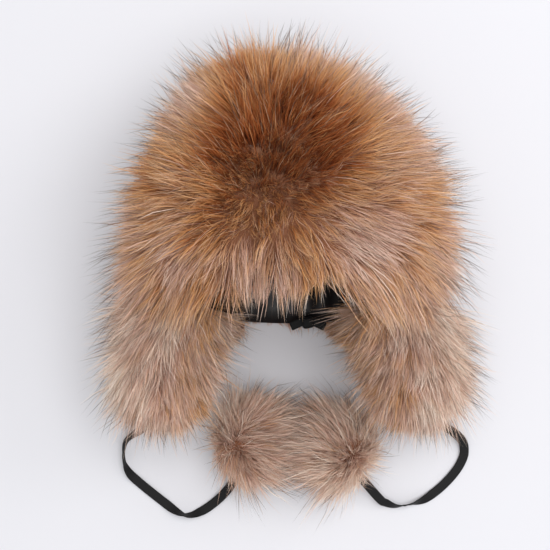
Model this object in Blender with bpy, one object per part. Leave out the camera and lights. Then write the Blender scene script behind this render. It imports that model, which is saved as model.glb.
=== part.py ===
import bpy
import bmesh
import math
import random
from mathutils import Vector

# Ushanka of long fur, lying on its back with its front up.
# +Y runs from the rim to the top of the crown, +Z from the nape to the front, z = 0 is the surface.

# Crown: the hollow for the head, and the walls round it
HEAD_WIDTH = 0.172
HEAD_LENGTH = 0.184
CROWN_DEPTH = 0.158
RIM_SLANT = 0.042
SIDE_RIM_Y = -0.049
DOME_POWER = 2.5
LINING_WALL = 0.0015
PELT_WALL = 0.003
GAP = 0.0003
WALL_SHARE = 0.5

# Fur of the crown
CROWN_FUR = 0.050
NAPE_FUR = 0.012
SIDE_LEAN = 0.22
FRINGE_LEAN = 0.65
UNDER_START = -0.85
UNDER_END = -0.35
RING_SHARE = 0.62
RING_FULLNESS = 0.87
FUR_JITTER = 0.10
TIP_STRAY = 0.3
LOCK_SHARES = (1.0, 0.85, 0.7, 0.55, 0.4, 0.25)

# Reach of the crown's fur, by its bearing round CROWN_MIDDLE_Y as seen from the front
REACH_BY_BEARING = (
    # bearing_deg, share of CROWN_FUR
    (-180.0, 0.93),
    (-90.0, 1.00),
    (0.0, 1.05),
    (28.0, 1.05),
    (45.0, 0.74),
    (62.0, 0.80),
    (78.0, 0.98),
    (118.0, 1.08),
    (150.0, 1.00),
    (180.0, 0.93),
)
CROWN_MIDDLE_Y = 0.032

# Ear flaps
FLAP_WALL = 0.005
FLAP_LENGTH = 0.080
FLAP_TIP_WIDTH = 0.070
FLAP_TIP_HEIGHT = 0.071
FLAP_CORNER = 0.018
FLAP_TURN_LEFT = 0.100
FLAP_TURN_RIGHT = 0.102
FLAP_NAPE_ANGLE = -62.0
FLAP_FRONT_ANGLE = 18.0
FLAP_OUTER_FUR = 0.058
FLAP_INNER_FUR = 0.046
FLAP_TIP_FUR = 0.034
FLAP_NAPE_FUR = 0.014
FLAP_FRONT_FUR = 0.042
FLAP_FAN_START = 0.4
FLAP_EDGE_FAN = 0.6
FLAP_EVENNESS = 0.75
FLAP_LEAN_GAIN = 0.23
FLAP_TIP_FAN = 0.6

# Reach of a flap's inner fur, by its place along the rim: short where it lies under the opening
INNER_REACH = (
    # along, share of FLAP_INNER_FUR
    (0.0, 0.12),
    (0.35, 0.65),
    (0.6, 1.0),
    (1.0, 1.0),
)

# Ties and pompoms
TIE_WIDTH = 0.008
TIE_THICKNESS = 0.001
TIE_CLEARANCE = 0.0065
TIE_START_CELL = 1
TIE_STEPS = 3
POMPOM_RADIUS = 0.041
POMPOM_CORE = 0.024
POMPOM_GAP = 0.0015

# Drawstring knot on the nape edge of the lining
KNOT_WIDTH = 0.016
KNOT_DEPTH = 0.013
KNOT_HEIGHT = 0.009
KNOT_X = 0.018
KNOT_INSET = 0.003

# Spacing, as a share of the surface's own run, at which its slopes are read
PROBE = 0.01

# Counts of locks
RIM_CELLS = 32
WALL_ROWS = 6
FLAP_CELLS_ROUND = 6
FLAP_CELLS_DOWN = 5
POMPOM_CELLS = 4
PRESSED_COLUMNS = 3
PRESSED_ROWS = 5

# Routes of the ties, in the order they lie, from near the flap's tip to near the pompom
ROUTE_LEFT = (
    # x, y, z, roll_deg
    (-0.1000, -0.1450, 0.0420, 60.0),
    (-0.1130, -0.1540, 0.0270, 30.0),
    (-0.1275, -0.1630, 0.0150, 30.0),
    (-0.1400, -0.1725, 0.0075, 60.0),
    (-0.1430, -0.1830, 0.0058, 85.0),
    (-0.1422, -0.1930, 0.0055, 80.0),
    (-0.1380, -0.2020, 0.0040, 35.0),
    (-0.1303, -0.2098, 0.0022, 0.0),
    (-0.1194, -0.2188, 0.0022, 0.0),
    (-0.1089, -0.2270, 0.0022, 0.0),
    (-0.0985, -0.2345, 0.0036, 40.0),
    (-0.0902, -0.2382, 0.0055, 85.0),
    (-0.0823, -0.2382, 0.0045, 55.0),
    (-0.0719, -0.2338, 0.0025, 10.0),
    (-0.0624, -0.2268, 0.0030, 0.0),
    (-0.0546, -0.2190, 0.0060, 0.0),
    (-0.0480, -0.2095, 0.0120, 0.0),
)
ROUTE_RIGHT = (
    # x, y, z, roll_deg
    (0.1120, -0.1450, 0.0420, -60.0),
    (0.1270, -0.1540, 0.0270, -30.0),
    (0.1425, -0.1630, 0.0150, -15.0),
    (0.1535, -0.1730, 0.0060, 0.0),
    (0.1558, -0.1835, 0.0030, 0.0),
    (0.1532, -0.1925, 0.0022, 0.0),
    (0.1470, -0.2021, 0.0022, 0.0),
    (0.1377, -0.2123, 0.0022, 0.0),
    (0.1285, -0.2200, 0.0022, 0.0),
    (0.1205, -0.2253, 0.0030, 25.0),
    (0.1112, -0.2283, 0.0050, 70.0),
    (0.1030, -0.2300, 0.0055, 85.0),
    (0.0950, -0.2305, 0.0060, 60.0),
    (0.0870, -0.2275, 0.0075, 25.0),
    (0.0800, -0.2225, 0.0110, 10.0),
)
POMPOM_LEFT = Vector((-0.0310, -0.1690, 0.0330))
POMPOM_RIGHT = Vector((0.0420, -0.1760, 0.0340))

WALL_MIDDLE_Z = NAPE_FUR + PELT_WALL + GAP + LINING_WALL + HEAD_LENGTH / 2
PELT_INSIDE = LINING_WALL + GAP
PELT_OUTSIDE = PELT_INSIDE + PELT_WALL
CAP_START = math.pi / 2 * WALL_SHARE
DOWN_Y = Vector((0.0, -1.0, 0.0))


def clear_scene():
    for old in list(bpy.data.objects):
        bpy.data.objects.remove(old, do_unlink=True)


def make_material(name, color, roughness, sheen=0.0):
    material = bpy.data.materials.new(name)
    material.use_nodes = True
    shader = material.node_tree.nodes["Principled BSDF"]
    shader.inputs["Base Color"].default_value = (*color, 1.0)
    shader.inputs["Roughness"].default_value = roughness
    shader.inputs["Sheen Weight"].default_value = sheen
    return material


def add_object(name, shape, material):
    bmesh.ops.recalc_face_normals(shape, faces=shape.faces)
    mesh = bpy.data.meshes.new(name)
    shape.to_mesh(mesh)
    shape.free()
    mesh.materials.append(material)
    thing = bpy.data.objects.new(name, mesh)
    bpy.context.scene.collection.objects.link(thing)
    return thing


def read_table(rows, value):
    """Straight-line reading of a two-column table."""
    for (low, low_share), (high, high_share) in zip(rows, rows[1:]):
        if value <= high:
            return low_share + (high_share - low_share) * (value - low) / (high - low)
    return rows[-1][1]


def smooth_step(value):
    value = min(max(value, 0.0), 1.0)
    return value * value * (3.0 - 2.0 * value)


def press(point):
    """Fur below the pelt's lowest line is squeezed towards the surface, and never reaches it."""
    if point.z >= NAPE_FUR:
        return point
    return Vector((point.x, point.y, NAPE_FUR * math.exp((point.z - NAPE_FUR) / NAPE_FUR)))


def rim_y(z):
    """The rim's plane slants, so that the nape reaches lower than the brow."""
    return SIDE_RIM_Y + RIM_SLANT / 2 * (z - WALL_MIDDLE_Z) / (HEAD_LENGTH / 2)


def dome_point(angle, rise, offset):
    """Point on the dome: angle round the head, rise from the rim (0) to the top (pi / 2)."""
    share = 2.0 / DOME_POWER
    radius = math.cos(rise) ** share if rise < math.pi / 2 else 0.0
    height = math.sin(rise) ** share if rise > 0.0 else 0.0
    x = (HEAD_WIDTH / 2 + offset) * math.cos(angle) * radius
    z = WALL_MIDDLE_Z + (HEAD_LENGTH / 2 + offset) * math.sin(angle) * radius
    rim = rim_y(WALL_MIDDLE_Z + HEAD_LENGTH / 2 * math.sin(angle))
    top = SIDE_RIM_Y + CROWN_DEPTH + offset
    return Vector((x, rim + (top - rim) * height, z))


def dome_normal(angle, rise):
    step = PROBE / 10
    rise = min(max(rise, step), math.pi / 2 - 2 * step)
    up = dome_point(angle, rise + step, 0.0) - dome_point(angle, rise - step, 0.0)
    across = dome_point(angle + step, rise, 0.0) - dome_point(angle - step, rise, 0.0)
    normal = up.cross(across).normalized()
    outward = dome_point(angle, rise, 0.0) - Vector((0.0, SIDE_RIM_Y, WALL_MIDDLE_Z))
    return normal if normal.dot(outward) > 0.0 else -normal


def dome_layout():
    """Rows of cells up from the rim, closed at the top by a square patch of cells."""
    patch = RIM_CELLS // 4
    places = []
    index = {}
    for row in range(WALL_ROWS):
        for column in range(RIM_CELLS):
            index["wall", row, column] = len(places)
            angle = math.radians(-135.0 + 360.0 * column / RIM_CELLS)
            places.append((angle, CAP_START * row / WALL_ROWS))
    for j in range(patch + 1):
        for i in range(patch + 1):
            a = 2.0 * i / patch - 1.0
            b = 2.0 * j / patch - 1.0
            ring = max(abs(a), abs(b))
            if ring == 0.0:
                angle = 0.0
            elif abs(a) >= abs(b):
                angle = math.pi / 4 * b / a + (math.pi if a < 0.0 else 0.0)
            else:
                angle = math.copysign(math.pi / 2, b) - math.pi / 4 * a / b
            index["cap", i, j] = len(places)
            places.append((angle, CAP_START + (math.pi / 2 - CAP_START) * (1.0 - ring)))
    edge = [(k, 0) for k in range(patch)]
    edge += [(patch, k) for k in range(patch)]
    edge += [(patch - k, patch) for k in range(patch)]
    edge += [(0, patch - k) for k in range(patch)]
    for column in range(RIM_CELLS):
        index["wall", WALL_ROWS, column] = index["cap", *edge[column]]
    cells = []
    for row in range(WALL_ROWS):
        for column in range(RIM_CELLS):
            after = (column + 1) % RIM_CELLS
            corners = [("wall", row, column), ("wall", row, after),
                       ("wall", row + 1, after), ("wall", row + 1, column)]
            cells.append((("wall", row, column), [index[corner] for corner in corners]))
    for j in range(patch):
        for i in range(patch):
            corners = [("cap", i, j), ("cap", i + 1, j), ("cap", i + 1, j + 1), ("cap", i, j + 1)]
            cells.append((("cap", i, j), [index[corner] for corner in corners]))
    rim = [index["wall", 0, column] for column in range(RIM_CELLS)]
    return places, cells, rim


def add_sheet(shape, places, offset):
    return [shape.verts.new(dome_point(angle, rise, offset)) for angle, rise in places]


def close_rim(shape, inside, outside, rim):
    for k, start in enumerate(rim):
        end = rim[(k + 1) % len(rim)]
        shape.faces.new((inside[start], inside[end], outside[end], outside[start]))


def distance_to_track(point, track):
    """Distance from a point to a polyline, or to a lone point."""
    best = (point - track[0]).length
    for start, end in zip(track, track[1:]):
        run = end - start
        share = min(max((point - start).dot(run) / run.length_squared, 0.0), 1.0)
        best = min(best, (point - start - run * share).length)
    return best


def lock_is_clear(base, ring, tip, tracks, planes):
    """Tests points all through a lock, from its root to its tip."""
    root = sum(base, Vector()) / len(base)
    core = sum(ring, Vector()) / len(ring)
    points = [tip, core, (core + root) / 2, (core + tip) / 2]
    for k, corner in enumerate(ring):
        edge = (corner + ring[(k + 1) % len(ring)]) / 2
        points += [corner, edge, (corner + base[k]) / 2, (edge + root) / 2, (corner + base[k] * 3.0) / 4,
                   (corner + tip) / 2, (corner + core) / 2]
    for track, radius in tracks:
        if any(distance_to_track(point, track) < radius for point in points):
            return False
    return all((point - origin).dot(normal) > 0.0 for origin, normal in planes for point in points)


def add_lock(shape, base, directions, length, chance, tracks=(), planes=()):
    """One lock of fur on a cell: it keeps the cell's shape to its ring, then comes to a point."""
    start = [vert.co.copy() for vert in base]
    middle = sum(start, Vector()) / len(start)
    aim = sum(directions, Vector()).normalized()
    size = (start[0] - middle).length
    length *= 1.0 + chance.uniform(-FUR_JITTER, FUR_JITTER)
    stray = Vector([chance.uniform(-1.0, 1.0) for _ in range(3)]) * size * TIP_STRAY
    for share in LOCK_SHARES:
        reach = length * share
        ends = [point + way * reach * RING_SHARE for point, way in zip(start, directions)]
        centre = sum(ends, Vector()) / len(ends)
        ring = [press(centre + (end - centre) * RING_FULLNESS) for end in ends]
        tip = press(middle + aim * reach + stray)
        if lock_is_clear(start, ring, tip, tracks, planes):
            break
    else:
        shape.faces.new(base)
        return
    ring = [shape.verts.new(point) for point in ring]
    point = shape.verts.new(tip)
    for k in range(len(base)):
        after = (k + 1) % len(base)
        shape.faces.new((base[k], base[after], ring[after], ring[k]))
        shape.faces.new((ring[k], ring[after], point))


def crown_lean(angle, normal):
    """How far the crown's hair leans towards the rim: most over the brow, none under the nape."""
    front = max(math.sin(angle), 0.0) ** 2
    lean = SIDE_LEAN + (FRINGE_LEAN - SIDE_LEAN) * front
    return lean * smooth_step((normal.z - UNDER_START) / (UNDER_END - UNDER_START))


def crown_way(angle, rise):
    normal = dome_normal(angle, rise)
    return (normal + DOWN_Y * crown_lean(angle, normal) * math.cos(rise) ** 2).normalized()


def crown_reach(angle, rise):
    point = dome_point(angle, rise, 0.0)
    bearing = math.degrees(math.atan2(point.y - CROWN_MIDDLE_Y, point.x))
    seen_edge = 1.0 - abs(dome_normal(angle, rise).z)
    return CROWN_FUR * (1.0 + (read_table(REACH_BY_BEARING, bearing) - 1.0) * seen_edge)


def make_lining(layout, material):
    places, cells, rim = layout
    shape = bmesh.new()
    inside = add_sheet(shape, places, 0.0)
    outside = add_sheet(shape, places, LINING_WALL)
    for _, corners in cells:
        shape.faces.new([inside[k] for k in corners])
        shape.faces.new([outside[k] for k in corners])
    close_rim(shape, inside, outside, rim)
    return add_object("crown_lining", shape, material)


def make_crown(layout, material):
    places, cells, rim = layout
    chance = random.Random(11)
    shape = bmesh.new()
    inside = add_sheet(shape, places, PELT_INSIDE)
    outside = add_sheet(shape, places, PELT_OUTSIDE)
    close_rim(shape, inside, outside, rim)
    nape = RIM_CELLS // 8
    floor = {}

    def floor_vert(k):
        if k not in floor:
            above = outside[k].co
            floor[k] = shape.verts.new((above.x, above.y, 0.0))
        return floor[k]

    def is_pressed(tag):
        kind, row, column = tag
        return kind == "wall" and row < PRESSED_ROWS and -PRESSED_COLUMNS <= column - nape < PRESSED_COLUMNS

    sides = {}
    for tag, corners in cells:
        shape.faces.new([inside[k] for k in corners])
        if is_pressed(tag):
            shape.faces.new([floor_vert(k) for k in corners])
            for k, start in enumerate(corners):
                pair = frozenset((start, corners[(k + 1) % 4]))
                sides[pair] = sides.get(pair, 0) + 1
            continue
        ways = [crown_way(*places[k]) for k in corners]
        mid_angle, mid_rise = places[corners[0]]
        reach = crown_reach(mid_angle, mid_rise)
        add_lock(shape, [outside[k] for k in corners], ways, reach, chance)
    for pair, count in sides.items():
        if count == 1:
            start, end = pair
            shape.faces.new((outside[start], outside[end], floor[end], floor[start]))
    return add_object("crown_fur", shape, material)


def flap_point(side, along, down, out):
    """Point of an ear flap: along the rim from nape to front, down to the tip, out from its middle."""
    angle = math.radians(FLAP_NAPE_ANGLE + (FLAP_FRONT_ANGLE - FLAP_NAPE_ANGLE) * along)
    wall = PELT_OUTSIDE / 2
    start = Vector((side * (HEAD_WIDTH / 2 + wall) * math.cos(angle),
                    rim_y(WALL_MIDDLE_Z + HEAD_LENGTH / 2 * math.sin(angle)) - GAP,
                    WALL_MIDDLE_Z + (HEAD_LENGTH / 2 + wall) * math.sin(angle)))
    turn = FLAP_TURN_LEFT if side < 0 else FLAP_TURN_RIGHT
    tip = Vector((side * turn,
                  SIDE_RIM_Y - FLAP_LENGTH + FLAP_CORNER * abs(2.0 * along - 1.0) ** 3,
                  FLAP_TIP_HEIGHT + (along - 0.5) * FLAP_TIP_WIDTH))
    spread = smooth_step(down)
    middle = Vector((start.x + (tip.x - start.x) * spread,
                     start.y + (tip.y - start.y) * down,
                     start.z + (tip.z - start.z) * down))
    if out == 0.0:
        return middle
    return middle + flap_normal(side, along, down) * out


def flap_tangents(side, along, down):
    """Unit ways in the flap: along the rim, and down to the tip."""
    across = flap_point(side, along + PROBE, down, 0.0) - flap_point(side, along - PROBE, down, 0.0)
    fall = flap_point(side, along, down + PROBE, 0.0) - flap_point(side, along, down - PROBE, 0.0)
    return across.normalized(), fall.normalized()


def flap_normal(side, along, down):
    across, fall = flap_tangents(side, along, down)
    normal = across.cross(fall)
    if down in (0.0, 1.0):
        normal.y = 0.0
    normal.normalize()
    return normal if normal.x * side > 0.0 else -normal


def flap_way(side, along, down, face):
    """Way of the hair on a flap: off its face and never back up it, and fanned out at the edges."""
    normal = flap_normal(side, along, down)
    angle = math.radians(FLAP_NAPE_ANGLE + (FLAP_FRONT_ANGLE - FLAP_NAPE_ANGLE) * along)
    lean = crown_lean(angle, normal) + FLAP_LEAN_GAIN * down
    sideways = Vector((side, 0.0, 0.0))
    way = normal.lerp(sideways, FLAP_EVENNESS) * face + DOWN_Y * lean
    across, fall = flap_tangents(side, along, down)
    square = (across - fall * across.dot(fall)).normalized()
    fan = FLAP_EDGE_FAN * smooth_step(down / FLAP_FAN_START)
    if along == 0.0:
        way -= square * fan
    elif along == 1.0:
        way += square * fan
    way.y = min(way.y, 0.0)
    if down == 1.0:
        way += DOWN_Y * FLAP_TIP_FAN
    return way.normalized()


def make_flap(name, side, material, tracks):
    chance = random.Random(23 if side < 0 else 29)
    shape = bmesh.new()
    faces = {}
    for face in (1, -1):
        for i in range(FLAP_CELLS_ROUND + 1):
            for j in range(FLAP_CELLS_DOWN + 1):
                along = i / FLAP_CELLS_ROUND
                down = j / FLAP_CELLS_DOWN
                point = flap_point(side, along, down, face * FLAP_WALL / 2)
                way = flap_way(side, along, down, face)
                faces[face, i, j] = (shape.verts.new(point), way)

    def add_cell(keys, length):
        base = [faces[key][0] for key in keys]
        add_lock(shape, base, [faces[key][1] for key in keys], length, chance, tracks)

    for face in (1, -1):
        for i in range(FLAP_CELLS_ROUND):
            length = FLAP_OUTER_FUR
            if face < 0:
                length = FLAP_INNER_FUR * read_table(INNER_REACH, (i + 0.5) / FLAP_CELLS_ROUND)
            for j in range(FLAP_CELLS_DOWN):
                keys = [(face, i, j), (face, i + 1, j), (face, i + 1, j + 1), (face, i, j + 1)]
                add_cell(keys, length)
    for j in range(FLAP_CELLS_DOWN):
        for i, length in ((0, FLAP_NAPE_FUR), (FLAP_CELLS_ROUND, FLAP_FRONT_FUR)):
            add_cell([(1, i, j), (-1, i, j), (-1, i, j + 1), (1, i, j + 1)], length)
    for i in range(FLAP_CELLS_ROUND):
        last = FLAP_CELLS_DOWN
        add_cell([(1, i, last), (-1, i, last), (-1, i + 1, last), (1, i + 1, last)], FLAP_TIP_FUR)
        shape.faces.new([faces[key][0] for key in ((1, i, 0), (-1, i, 0), (-1, i + 1, 0), (1, i + 1, 0))])
    return add_object(name, shape, material)


def smooth_route(rows, steps):
    """Smooth curve through a route's rows, each a place and a roll."""
    points = [Vector(row[:3]) for row in rows]
    rolls = [row[3] for row in rows]
    stations = []
    for k in range(len(points) - 1):
        before = points[max(k - 1, 0)]
        start = points[k]
        end = points[k + 1]
        after = points[min(k + 2, len(points) - 1)]
        for step in range(steps):
            t = step / steps
            place = 0.5 * (2.0 * start + (end - before) * t
                           + (2.0 * before - 5.0 * start + 4.0 * end - after) * t ** 2
                           + (3.0 * start - before - 3.0 * end + after) * t ** 3)
            stations.append((place, rolls[k] + (rolls[k + 1] - rolls[k]) * t))
    stations.append((points[-1], rolls[-1]))
    return stations


def make_tie(name, stations, material):
    """A flat ribbon; the diagonals of its two broad sides run the same way, so a twist keeps its thickness."""
    shape = bmesh.new()
    rings = []
    for k, (point, roll) in enumerate(stations):
        before = stations[max(k - 1, 0)][0]
        after = stations[min(k + 1, len(stations) - 1)][0]
        run = (after - before).normalized()
        flat = run.cross(Vector((0.0, 0.0, 1.0))).normalized()
        thin = flat.cross(run)
        turn = math.radians(roll)
        wide = (flat * math.cos(turn) + thin * math.sin(turn)) * TIE_WIDTH / 2
        deep = (thin * math.cos(turn) - flat * math.sin(turn)) * TIE_THICKNESS / 2
        corners = (wide + deep, wide - deep, -wide - deep, -wide + deep)
        rings.append([shape.verts.new(point + corner) for corner in corners])
    for start, end in zip(rings, rings[1:]):
        for k in range(4):
            after = (k + 1) % 4
            if k < 2:
                shape.faces.new((start[k], start[after], end[after]))
                shape.faces.new((start[k], end[after], end[k]))
            else:
                shape.faces.new((start[k], start[after], end[k]))
                shape.faces.new((start[after], end[after], end[k]))
    shape.faces.new(rings[0])
    shape.faces.new(reversed(rings[-1]))
    return add_object(name, shape, material)


def tie_stations(side, route, pompom):
    """The whole route of a tie, from just off the flap's tip to just off the pompom's core."""
    low = flap_point(side, TIE_START_CELL / FLAP_CELLS_ROUND, 1.0, 0.0)
    high = flap_point(side, (TIE_START_CELL + 1) / FLAP_CELLS_ROUND, 1.0, 0.0)
    square = (high - low).cross(Vector((1.0, 0.0, 0.0))).normalized()
    square *= math.copysign(1.0, square.dot(DOWN_Y))
    start = (low + high) / 2 + square * GAP * 2
    seam = [start + square * TIE_WIDTH * share for share in (0.0, 0.3, 0.6)]
    last = Vector(route[-1][:3])
    end = pompom + (last - pompom).normalized() * (POMPOM_CORE + GAP)
    first_roll = math.copysign(90.0, route[0][3])
    rows = [(*point, first_roll) for point in seam] + list(route) + [(*end, 0.0)]
    return smooth_route(rows, TIE_STEPS)


def make_pompom(name, centre, material, seed, tracks, planes):
    """A ball of locks on a round core, its cells laid out on the six sides of a cube."""
    chance = random.Random(seed)
    shape = bmesh.new()
    corners = {}
    count = POMPOM_CELLS

    def corner(key):
        if key not in corners:
            warped = [math.tan(math.pi / 4 * (2.0 * k / count - 1.0)) for k in key]
            way = Vector(warped).normalized()
            corners[key] = (shape.verts.new(press(centre + way * POMPOM_CORE)), way)
        return corners[key]

    for axis in range(3):
        for level in (0, count):
            for a in range(count):
                for b in range(count):
                    keys = []
                    for i, j in ((a, b), (a + 1, b), (a + 1, b + 1), (a, b + 1)):
                        key = [i, j]
                        key.insert(axis, level)
                        keys.append(tuple(key))
                    base = [corner(key)[0] for key in keys]
                    ways = [corner(key)[1] for key in keys]
                    add_lock(shape, base, ways, POMPOM_RADIUS - POMPOM_CORE, chance, tracks, planes)
    return add_object(name, shape, material)


def make_knot(material):
    """Lumpy round knot lying on the lining, at its nape edge."""
    shape = bmesh.new()
    bmesh.ops.create_uvsphere(shape, u_segments=12, v_segments=8, radius=0.5)
    angle = -math.acos(KNOT_X / (HEAD_WIDTH / 2))
    under = dome_point(angle, 0.0, 0.0)
    up = -dome_normal(angle, 0.0)
    across = up.cross(DOWN_Y)
    middle = under - DOWN_Y * KNOT_INSET + up * (GAP * 2 + KNOT_HEIGHT / 2)
    for vert in shape.verts:
        turn = math.atan2(vert.co.y, vert.co.x)
        lump = 1.0 + 0.12 * math.cos(3.0 * turn) * (1.0 - (2.0 * vert.co.z) ** 2)
        vert.co = (middle + across * vert.co.x * lump * KNOT_WIDTH
                   + DOWN_Y * vert.co.y * lump * KNOT_DEPTH + up * vert.co.z * KNOT_HEIGHT)
    return add_object("drawstring_knot", shape, material)


def main():
    clear_scene()
    layout = dome_layout()
    fur = make_material("long_fur", (0.36, 0.19, 0.10), 0.85, 0.3)
    cloth = make_material("black_lining", (0.018, 0.016, 0.018), 0.55)
    ribbon = make_material("black_ribbon", (0.012, 0.012, 0.013), 0.5)
    make_lining(layout, cloth)
    make_crown(layout, fur)
    left = tie_stations(-1, ROUTE_LEFT, POMPOM_LEFT)
    right = tie_stations(1, ROUTE_RIGHT, POMPOM_RIGHT)
    left_track = ([point for point, _ in left], TIE_CLEARANCE)
    right_track = ([point for point, _ in right], TIE_CLEARANCE)
    ball_left = ([POMPOM_LEFT], POMPOM_RADIUS * (1.0 + FUR_JITTER) + POMPOM_GAP)
    ball_right = ([POMPOM_RIGHT], POMPOM_RADIUS * (1.0 + FUR_JITTER) + POMPOM_GAP)
    make_flap("ear_flap_left", -1, fur, (left_track, ball_left))
    make_flap("ear_flap_right", 1, fur, (right_track, ball_right))
    make_tie("tie_left", left, ribbon)
    make_tie("tie_right", right, ribbon)
    apart = (POMPOM_RIGHT - POMPOM_LEFT).normalized()
    middle = (POMPOM_LEFT + POMPOM_RIGHT) / 2
    make_pompom("pompom_left", POMPOM_LEFT, fur, 31, (left_track,), ((middle - apart * POMPOM_GAP, -apart),))
    make_pompom("pompom_right", POMPOM_RIGHT, fur, 37, (right_track,), ((middle + apart * POMPOM_GAP, apart),))
    make_knot(ribbon)


main()
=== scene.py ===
import math
import bpy
import numpy as np
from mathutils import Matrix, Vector, kdtree


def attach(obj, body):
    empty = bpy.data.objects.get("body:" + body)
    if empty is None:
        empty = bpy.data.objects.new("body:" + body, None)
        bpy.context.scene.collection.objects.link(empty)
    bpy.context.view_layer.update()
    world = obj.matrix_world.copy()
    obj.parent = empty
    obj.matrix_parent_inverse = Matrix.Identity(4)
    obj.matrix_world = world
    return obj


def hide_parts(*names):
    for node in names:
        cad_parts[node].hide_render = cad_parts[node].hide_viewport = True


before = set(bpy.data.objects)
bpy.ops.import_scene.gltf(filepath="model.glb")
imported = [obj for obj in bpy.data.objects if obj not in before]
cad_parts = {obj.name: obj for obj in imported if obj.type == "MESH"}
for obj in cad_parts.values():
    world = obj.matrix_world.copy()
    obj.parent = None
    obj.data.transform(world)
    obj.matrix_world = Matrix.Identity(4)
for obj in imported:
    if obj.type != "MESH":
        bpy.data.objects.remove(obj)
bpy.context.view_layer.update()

# An ushanka of long raccoon-type fur, lying on its back with its front up.
# +Y runs from the rim to the top of the crown, +Z from the nape to the front, lengths in metres.

scene = bpy.context.scene


# Small helpers


def hexColour(code):
    # sRGB hex to a linear colour
    parts = [int(code[k:k + 2], 16) / 255 for k in (1, 3, 5)]
    return [p / 12.92 if p <= 0.04045 else ((p + 0.055) / 1.055) ** 2.4 for p in parts] + [1.0]


def addNode(tree, kind, links=None, **settings):
    # Adds a node, with its settings and what its inputs take: a value, or another node's output
    node = tree.nodes.new(kind)
    for key, value in settings.items():
        setattr(node, key, value)
    for key, value in (links or {}).items():
        if isinstance(value, bpy.types.NodeSocket):
            tree.links.new(value, node.inputs[key])
        else:
            node.inputs[key].default_value = value
    return node


def newMaterial(name, roughness, sheen=0.0, specular=0.5):
    material = bpy.data.materials.new(name)
    material.use_nodes = True
    shader = material.node_tree.nodes["Principled BSDF"]
    shader.inputs["Roughness"].default_value = roughness
    shader.inputs["Sheen Weight"].default_value = sheen
    shader.inputs["Specular IOR Level"].default_value = specular
    return material, material.node_tree, shader


def unit(v):
    return v / np.maximum(np.linalg.norm(v, axis=-1, keepdims=True), 1e-9)


def mix(a, b, t):
    return a + (b - a) * t


def smoothStep(t):
    t = np.clip(t, 0.0, 1.0)
    return t * t * (3.0 - 2.0 * t)


def waves(points, size, seed):
    # Smooth noise between about -1 and 1, whose lumps are as wide as size
    rng = np.random.default_rng(seed)
    total = np.zeros(points.shape[:-1])
    for _ in range(7):
        way = rng.normal(size=3)
        way *= rng.uniform(0.6, 1.6) * math.pi / (size * np.linalg.norm(way))
        total += np.sin(points @ way + rng.uniform(0, 2 * math.pi))
    return total / 2.6


def woolLumps(points, broadSeed, fineSeed):
    # The underfur's height, as a share: lumps 18 mm wide with 7 mm ones over them
    return 1 + 0.12 * waves(points, 0.018, broadSeed) + 0.10 * waves(points, 0.007, fineSeed)


def waveVectors(points, size, seed):
    return np.stack([waves(points, size, seed + k) for k in (0, 101, 202)], axis=-1)


# The hat's own shape

hat = {
    "headWidth": 0.172,
    "headLength": 0.184,
    "crownDepth": 0.158,
    "rimSlant": 0.042,       # how much lower the nape's edge is than the brow's
    "sideRimY": -0.049,
    "domePower": 2.5,
    "lining": 0.0015,
    "pelt": 0.003,
    "gap": 0.0003,
    "napeFur": 0.012,        # fur pressed under the nape
    "furLength": 0.050,
    "lowestHair": 0.0008,    # how near the floor the pressed fur comes
}
middleZ = hat["napeFur"] + hat["pelt"] + hat["gap"] + hat["lining"] + hat["headLength"] / 2
peltInside = hat["lining"] + hat["gap"]
peltOutside = peltInside + hat["pelt"]


def press(points):
    # Fur under the nape's lowest line is squeezed towards the floor
    z = points[..., 2]
    limit = hat["napeFur"]
    low = limit * np.exp((np.minimum(z, limit) - limit) / limit)
    pressed = points.copy()
    pressed[..., 2] = np.where(z < limit, np.maximum(low, hat["lowestHair"]), z)
    return pressed


def rimY(z):
    return hat["sideRimY"] + hat["rimSlant"] / 2 * (z - middleZ) / (hat["headLength"] / 2)


def domePoint(angle, rise, offset):
    # Angle goes round the head from +X to the front, rise from the rim (0) to the top (pi / 2)
    share = 2.0 / hat["domePower"]
    radius = np.maximum(np.cos(rise), 0.0) ** share
    height = np.maximum(np.sin(rise), 0.0) ** share
    x = (hat["headWidth"] / 2 + offset) * np.cos(angle) * radius
    z = middleZ + (hat["headLength"] / 2 + offset) * np.sin(angle) * radius
    rim = rimY(middleZ + hat["headLength"] / 2 * np.sin(angle))
    top = hat["sideRimY"] + hat["crownDepth"] + offset
    return np.stack(np.broadcast_arrays(x, rim + (top - rim) * height, z), axis=-1)


flap = {
    "wall": 0.005,
    "length": 0.080,
    "tipWidth": 0.070,
    "tipHeight": 0.071,
    "corner": 0.018,
    "turn": {-1: 0.100, 1: 0.102},   # how far out the tip lies, left and right
    "napeAngle": -62.0,
    "frontAngle": 18.0,
    "cellsRound": 6,
}


def flapPoint(side, along, down):
    # Along the rim from nape to front, and down from the rim to the tip
    angle = np.radians(flap["napeAngle"] + (flap["frontAngle"] - flap["napeAngle"]) * along)
    wall = peltOutside / 2
    startX = side * (hat["headWidth"] / 2 + wall) * np.cos(angle)
    startY = rimY(middleZ + hat["headLength"] / 2 * np.sin(angle)) - hat["gap"]
    startZ = middleZ + (hat["headLength"] / 2 + wall) * np.sin(angle)
    tipX = side * flap["turn"][side]
    tipY = hat["sideRimY"] - flap["length"] + flap["corner"] * np.abs(2 * along - 1) ** 3
    tipZ = flap["tipHeight"] + (along - 0.5) * flap["tipWidth"]
    return np.stack(np.broadcast_arrays(mix(startX, tipX, smoothStep(down)),
                                        mix(startY, tipY, down), mix(startZ, tipZ, down)), axis=-1)


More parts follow.
